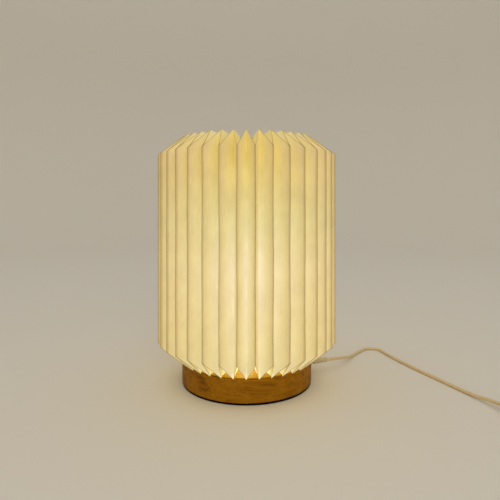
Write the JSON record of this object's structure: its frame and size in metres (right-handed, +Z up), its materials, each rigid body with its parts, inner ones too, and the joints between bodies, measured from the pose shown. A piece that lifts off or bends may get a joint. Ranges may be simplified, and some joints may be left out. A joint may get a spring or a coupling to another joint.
{
  "type": "table lamp",
  "caption": "Table lamp with a ring of folded paper pleats that lifts off and fans together, standing on a turned wooden base with an LED dome, a thin cord and a rocker switch.",
  "frame": {"origin": "On the lamp's axis at table level, under the middle of the base.", "axes": "+Z up along the lamp's axis, -Y towards the picture's camera, +X to the picture's right, where the cord leaves."},
  "size_m": [0.431, 0.3003, 0.2758],
  "materials": {
    "shade_paper": "matte pleated paper, lit from inside",
    "walnut": "oiled, turned",
    "foot_rubber": "matte foamed pad",
    "cover_plastic": "moulded",
    "screw_steel": "zinc plated",
    "board_white": "white solder mask on an aluminium core",
    "led_phosphor": "phosphor under clear resin",
    "opal_plastic": "opal diffuser",
    "relief_rubber": "moulded, matte ivory",
    "cord_jacket": "extruded ivory jacket",
    "wire_insulation": "extruded insulation",
    "switch_plastic": "moulded ivory, fine grain",
    "rocker_plastic": "moulded ivory, polished",
    "contact_brass": "stamped strip",
    "tie_fabric": "woven hook-and-loop strap",
    "plug_steel": "stamped and plated",
    "tongue_plastic": "moulded"
  },
  "bodies": {
    "base": {"base_body": "walnut", "foot_pad": "foot_rubber", "base_cover": "cover_plastic", "base_screws": "screw_steel", "led_board": "board_white", "led_chips": "led_phosphor", "board_screws": "screw_steel", "diffuser_dome": "opal_plastic", "strain_relief": "relief_rubber", "held_cord": "cord_jacket", "cord_grip": "cover_plastic", "lead_wires": "wire_insulation", "lamp_cord": "cord_jacket", "switch_lower_shell": "switch_plastic", "switch_upper_shell": "switch_plastic", "switch_contacts": "contact_brass", "switch_screws": "screw_steel", "cord_coil": "cord_jacket", "coil_tie": "tie_fabric", "plug_grip": "switch_plastic", "plug_shell": "plug_steel", "plug_tongue": "tongue_plastic", "plug_contacts": "contact_brass"},
    "rocker": {"switch_rocker": "rocker_plastic"},
    "pleat_01": {"shade_pleat_01": "shade_paper"},
    "pleat_02": {"shade_pleat_02": "shade_paper"},
    "pleat_03": {"shade_pleat_03": "shade_paper"},
    "pleat_04": {"shade_pleat_04": "shade_paper"},
    "pleat_05": {"shade_pleat_05": "shade_paper"},
    "pleat_06": {"shade_pleat_06": "shade_paper"},
    "pleat_07": {"shade_pleat_07": "shade_paper"},
    "pleat_08": {"shade_pleat_08": "shade_paper"},
    "pleat_09": {"shade_pleat_09": "shade_paper"},
    "pleat_10": {"shade_pleat_10": "shade_paper"},
    "pleat_11": {"shade_pleat_11": "shade_paper"},
    "pleat_12": {"shade_pleat_12": "shade_paper"},
    "pleat_13": {"shade_pleat_13": "shade_paper"},
    "pleat_14": {"shade_pleat_14": "shade_paper"},
    "pleat_15": {"shade_pleat_15": "shade_paper"},
    "pleat_16": {"shade_pleat_16": "shade_paper"},
    "pleat_17": {"shade_pleat_17": "shade_paper"},
    "pleat_18": {"shade_pleat_18": "shade_paper"},
    "pleat_19": {"shade_pleat_19": "shade_paper"},
    "pleat_20": {"shade_pleat_20": "shade_paper"},
    "pleat_21": {"shade_pleat_21": "shade_paper"},
    "pleat_22": {"shade_pleat_22": "shade_paper"},
    "pleat_23": {"shade_pleat_23": "shade_paper"},
    "pleat_24": {"shade_pleat_24": "shade_paper"},
    "pleat_25": {"shade_pleat_25": "shade_paper"},
    "pleat_26": {"shade_pleat_26": "shade_paper"},
    "pleat_27": {"shade_pleat_27": "shade_paper"},
    "pleat_28": {"shade_pleat_28": "shade_paper"},
    "pleat_29": {"shade_pleat_29": "shade_paper"},
    "pleat_30": {"shade_pleat_30": "shade_paper"},
    "pleat_31": {"shade_pleat_31": "shade_paper"},
    "pleat_32": {"shade_pleat_32": "shade_paper"},
    "pleat_33": {"shade_pleat_33": "shade_paper"},
    "pleat_34": {"shade_pleat_34": "shade_paper"},
    "pleat_35": {"shade_pleat_35": "shade_paper"},
    "pleat_36": {"shade_pleat_36": "shade_paper"}
  },
  "joints": [
    {"name": "shade_lift", "type": "slide", "parent": "base", "child": "pleat_01", "axis": [0, 0, 1], "range_m": [0, 0.1]},
    {"name": "shade_fold", "type": "hinge", "parent": "pleat_01", "child": "pleat_02", "pos_m": [0, 0, 0.15], "axis": [0, 0, 1], "range_deg": [-8, 0], "deforming": ["shade_pleat_01"]},
    {"name": "pleat_fold_02", "type": "hinge", "parent": "pleat_02", "child": "pleat_03", "pos_m": [0, 0, 0.15], "axis": [0, 0, 1], "range_deg": [-8, 0], "deforming": ["shade_pleat_02"]},
    {"name": "pleat_fold_03", "type": "hinge", "parent": "pleat_03", "child": "pleat_04", "pos_m": [0, 0, 0.15], "axis": [0, 0, 1], "range_deg": [-8, 0], "deforming": ["shade_pleat_03"]},
    {"name": "pleat_fold_04", "type": "hinge", "parent": "pleat_04", "child": "pleat_05", "pos_m": [0, 0, 0.15], "axis": [0, 0, 1], "range_deg": [-8, 0], "deforming": ["shade_pleat_04"]},
    {"name": "pleat_fold_05", "type": "hinge", "parent": "pleat_05", "child": "pleat_06", "pos_m": [0, 0, 0.15], "axis": [0, 0, 1], "range_deg": [-8, 0], "deforming": ["shade_pleat_05"]},
    {"name": "pleat_fold_06", "type": "hinge", "parent": "pleat_06", "child": "pleat_07", "pos_m": [0, 0, 0.15], "axis": [0, 0, 1], "range_deg": [-8, 0], "deforming": ["shade_pleat_06"]},
    {"name": "pleat_fold_07", "type": "hinge", "parent": "pleat_07", "child": "pleat_08", "pos_m": [0, 0, 0.15], "axis": [0, 0, 1], "range_deg": [-8, 0], "deforming": ["shade_pleat_07"]},
    {"name": "pleat_fold_08", "type": "hinge", "parent": "pleat_08", "child": "pleat_09", "pos_m": [0, 0, 0.15], "axis": [0, 0, 1], "range_deg": [-8, 0], "deforming": ["shade_pleat_08"]},
    {"name": "pleat_fold_09", "type": "hinge", "parent": "pleat_09", "child": "pleat_10", "pos_m": [0, 0, 0.15], "axis": [0, 0, 1], "range_deg": [-8, 0], "deforming": ["shade_pleat_09"]},
    {"name": "pleat_fold_10", "type": "hinge", "parent": "pleat_10", "child": "pleat_11", "pos_m": [0, 0, 0.15], "axis": [0, 0, 1], "range_deg": [-8, 0], "deforming": ["shade_pleat_10"]},
    {"name": "pleat_fold_11", "type": "hinge", "parent": "pleat_11", "child": "pleat_12", "pos_m": [0, 0, 0.15], "axis": [0, 0, 1], "range_deg": [-8, 0], "deforming": ["shade_pleat_11"]},
    {"name": "pleat_fold_12", "type": "hinge", "parent": "pleat_12", "child": "pleat_13", "pos_m": [0, 0, 0.15], "axis": [0, 0, 1], "range_deg": [-8, 0], "deforming": ["shade_pleat_12"]},
    {"name": "pleat_fold_13", "type": "hinge", "parent": "pleat_13", "child": "pleat_14", "pos_m": [0, 0, 0.15], "axis": [0, 0, 1], "range_deg": [-8, 0], "deforming": ["shade_pleat_13"]},
    {"name": "pleat_fold_14", "type": "hinge", "parent": "pleat_14", "child": "pleat_15", "pos_m": [0, 0, 0.15], "axis": [0, 0, 1], "range_deg": [-8, 0], "deforming": ["shade_pleat_14"]},
    {"name": "pleat_fold_15", "type": "hinge", "parent": "pleat_15", "child": "pleat_16", "pos_m": [0, 0, 0.15], "axis": [0, 0, 1], "range_deg": [-8, 0], "deforming": ["shade_pleat_15"]},
    {"name": "pleat_fold_16", "type": "hinge", "parent": "pleat_16", "child": "pleat_17", "pos_m": [0, 0, 0.15], "axis": [0, 0, 1], "range_deg": [-8, 0], "deforming": ["shade_pleat_16"]},
    {"name": "pleat_fold_17", "type": "hinge", "parent": "pleat_17", "child": "pleat_18", "pos_m": [0, 0, 0.15], "axis": [0, 0, 1], "range_deg": [-8, 0], "deforming": ["shade_pleat_17"]},
    {"name": "pleat_fold_18", "type": "hinge", "parent": "pleat_18", "child": "pleat_19", "pos_m": [0, 0, 0.15], "axis": [0, 0, 1], "range_deg": [-8, 0], "deforming": ["shade_pleat_18"]},
    {"name": "pleat_fold_19", "type": "hinge", "parent": "pleat_19", "child": "pleat_20", "pos_m": [0, 0, 0.15], "axis": [0, 0, 1], "range_deg": [-8, 0], "deforming": ["shade_pleat_19"]},
    {"name": "pleat_fold_20", "type": "hinge", "parent": "pleat_20", "child": "pleat_21", "pos_m": [0, 0, 0.15], "axis": [0, 0, 1], "range_deg": [-8, 0], "deforming": ["shade_pleat_20"]},
    {"name": "pleat_fold_21", "type": "hinge", "parent": "pleat_21", "child": "pleat_22", "pos_m": [0, 0, 0.15], "axis": [0, 0, 1], "range_deg": [-8, 0], "deforming": ["shade_pleat_21"]},
    {"name": "pleat_fold_22", "type": "hinge", "parent": "pleat_22", "child": "pleat_23", "pos_m": [0, 0, 0.15], "axis": [0, 0, 1], "range_deg": [-8, 0], "deforming": ["shade_pleat_22"]},
    {"name": "pleat_fold_23", "type": "hinge", "parent": "pleat_23", "child": "pleat_24", "pos_m": [0, 0, 0.15], "axis": [0, 0, 1], "range_deg": [-8, 0], "deforming": ["shade_pleat_23"]},
    {"name": "pleat_fold_24", "type": "hinge", "parent": "pleat_24", "child": "pleat_25", "pos_m": [0, 0, 0.15], "axis": [0, 0, 1], "range_deg": [-8, 0], "deforming": ["shade_pleat_24"]},
    {"name": "pleat_fold_25", "type": "hinge", "parent": "pleat_25", "child": "pleat_26", "pos_m": [0, 0, 0.15], "axis": [0, 0, 1], "range_deg": [-8, 0], "deforming": ["shade_pleat_25"]},
    {"name": "pleat_fold_26", "type": "hinge", "parent": "pleat_26", "child": "pleat_27", "pos_m": [0, 0, 0.15], "axis": [0, 0, 1], "range_deg": [-8, 0], "deforming": ["shade_pleat_26"]},
    {"name": "pleat_fold_27", "type": "hinge", "parent": "pleat_27", "child": "pleat_28", "pos_m": [0, 0, 0.15], "axis": [0, 0, 1], "range_deg": [-8, 0], "deforming": ["shade_pleat_27"]},
    {"name": "pleat_fold_28", "type": "hinge", "parent": "pleat_28", "child": "pleat_29", "pos_m": [0, 0, 0.15], "axis": [0, 0, 1], "range_deg": [-8, 0], "deforming": ["shade_pleat_28"]},
    {"name": "pleat_fold_29", "type": "hinge", "parent": "pleat_29", "child": "pleat_30", "pos_m": [0, 0, 0.15], "axis": [0, 0, 1], "range_deg": [-8, 0], "deforming": ["shade_pleat_29"]},
    {"name": "pleat_fold_30", "type": "hinge", "parent": "pleat_30", "child": "pleat_31", "pos_m": [0, 0, 0.15], "axis": [0, 0, 1], "range_deg": [-8, 0], "deforming": ["shade_pleat_30"]},
    {"name": "pleat_fold_31", "type": "hinge", "parent": "pleat_31", "child": "pleat_32", "pos_m": [0, 0, 0.15], "axis": [0, 0, 1], "range_deg": [-8, 0], "deforming": ["shade_pleat_31"]},
    {"name": "pleat_fold_32", "type": "hinge", "parent": "pleat_32", "child": "pleat_33", "pos_m": [0, 0, 0.15], "axis": [0, 0, 1], "range_deg": [-8, 0], "deforming": ["shade_pleat_32"]},
    {"name": "pleat_fold_33", "type": "hinge", "parent": "pleat_33", "child": "pleat_34", "pos_m": [0, 0, 0.15], "axis": [0, 0, 1], "range_deg": [-8, 0], "deforming": ["shade_pleat_33"]},
    {"name": "pleat_fold_34", "type": "hinge", "parent": "pleat_34", "child": "pleat_35", "pos_m": [0, 0, 0.15], "axis": [0, 0, 1], "range_deg": [-8, 0], "deforming": ["shade_pleat_34"]},
    {"name": "pleat_fold_35", "type": "hinge", "parent": "pleat_35", "child": "pleat_36", "pos_m": [0, 0, 0.15], "axis": [0, 0, 1], "range_deg": [-8, 0], "deforming": ["shade_pleat_35"]},
    {"name": "switch_rocker_tilt", "type": "hinge", "parent": "base", "child": "rocker", "pos_m": [0.25727, -0.12007, 0.0099], "axis": [0.9627, 0.2707, 0], "range_deg": [-14, 0]}
  ],
  "couplings": [
    {"joint": "pleat_fold_02", "follows": "shade_fold", "ratio": 1},
    {"joint": "pleat_fold_03", "follows": "shade_fold", "ratio": 1},
    {"joint": "pleat_fold_04", "follows": "shade_fold", "ratio": 1},
    {"joint": "pleat_fold_05", "follows": "shade_fold", "ratio": 1},
    {"joint": "pleat_fold_06", "follows": "shade_fold", "ratio": 1},
    {"joint": "pleat_fold_07", "follows": "shade_fold", "ratio": 1},
    {"joint": "pleat_fold_08", "follows": "shade_fold", "ratio": 1},
    {"joint": "pleat_fold_09", "follows": "shade_fold", "ratio": 1},
    {"joint": "pleat_fold_10", "follows": "shade_fold", "ratio": 1},
    {"joint": "pleat_fold_11", "follows": "shade_fold", "ratio": 1},
    {"joint": "pleat_fold_12", "follows": "shade_fold", "ratio": 1},
    {"joint": "pleat_fold_13", "follows": "shade_fold", "ratio": 1},
    {"joint": "pleat_fold_14", "follows": "shade_fold", "ratio": 1},
    {"joint": "pleat_fold_15", "follows": "shade_fold", "ratio": 1},
    {"joint": "pleat_fold_16", "follows": "shade_fold", "ratio": 1},
    {"joint": "pleat_fold_17", "follows": "shade_fold", "ratio": 1},
    {"joint": "pleat_fold_18", "follows": "shade_fold", "ratio": 1},
    {"joint": "pleat_fold_19", "follows": "shade_fold", "ratio": 1},
    {"joint": "pleat_fold_20", "follows": "shade_fold", "ratio": 1},
    {"joint": "pleat_fold_21", "follows": "shade_fold", "ratio": 1},
    {"joint": "pleat_fold_22", "follows": "shade_fold", "ratio": 1},
    {"joint": "pleat_fold_23", "follows": "shade_fold", "ratio": 1},
    {"joint": "pleat_fold_24", "follows": "shade_fold", "ratio": 1},
    {"joint": "pleat_fold_25", "follows": "shade_fold", "ratio": 1},
    {"joint": "pleat_fold_26", "follows": "shade_fold", "ratio": 1},
    {"joint": "pleat_fold_27", "follows": "shade_fold", "ratio": 1},
    {"joint": "pleat_fold_28", "follows": "shade_fold", "ratio": 1},
    {"joint": "pleat_fold_29", "follows": "shade_fold", "ratio": 1},
    {"joint": "pleat_fold_30", "follows": "shade_fold", "ratio": 1},
    {"joint": "pleat_fold_31", "follows": "shade_fold", "ratio": 1},
    {"joint": "pleat_fold_32", "follows": "shade_fold", "ratio": 1},
    {"joint": "pleat_fold_33", "follows": "shade_fold", "ratio": 1},
    {"joint": "pleat_fold_34", "follows": "shade_fold", "ratio": 1},
    {"joint": "pleat_fold_35", "follows": "shade_fold", "ratio": 1}
  ]
}
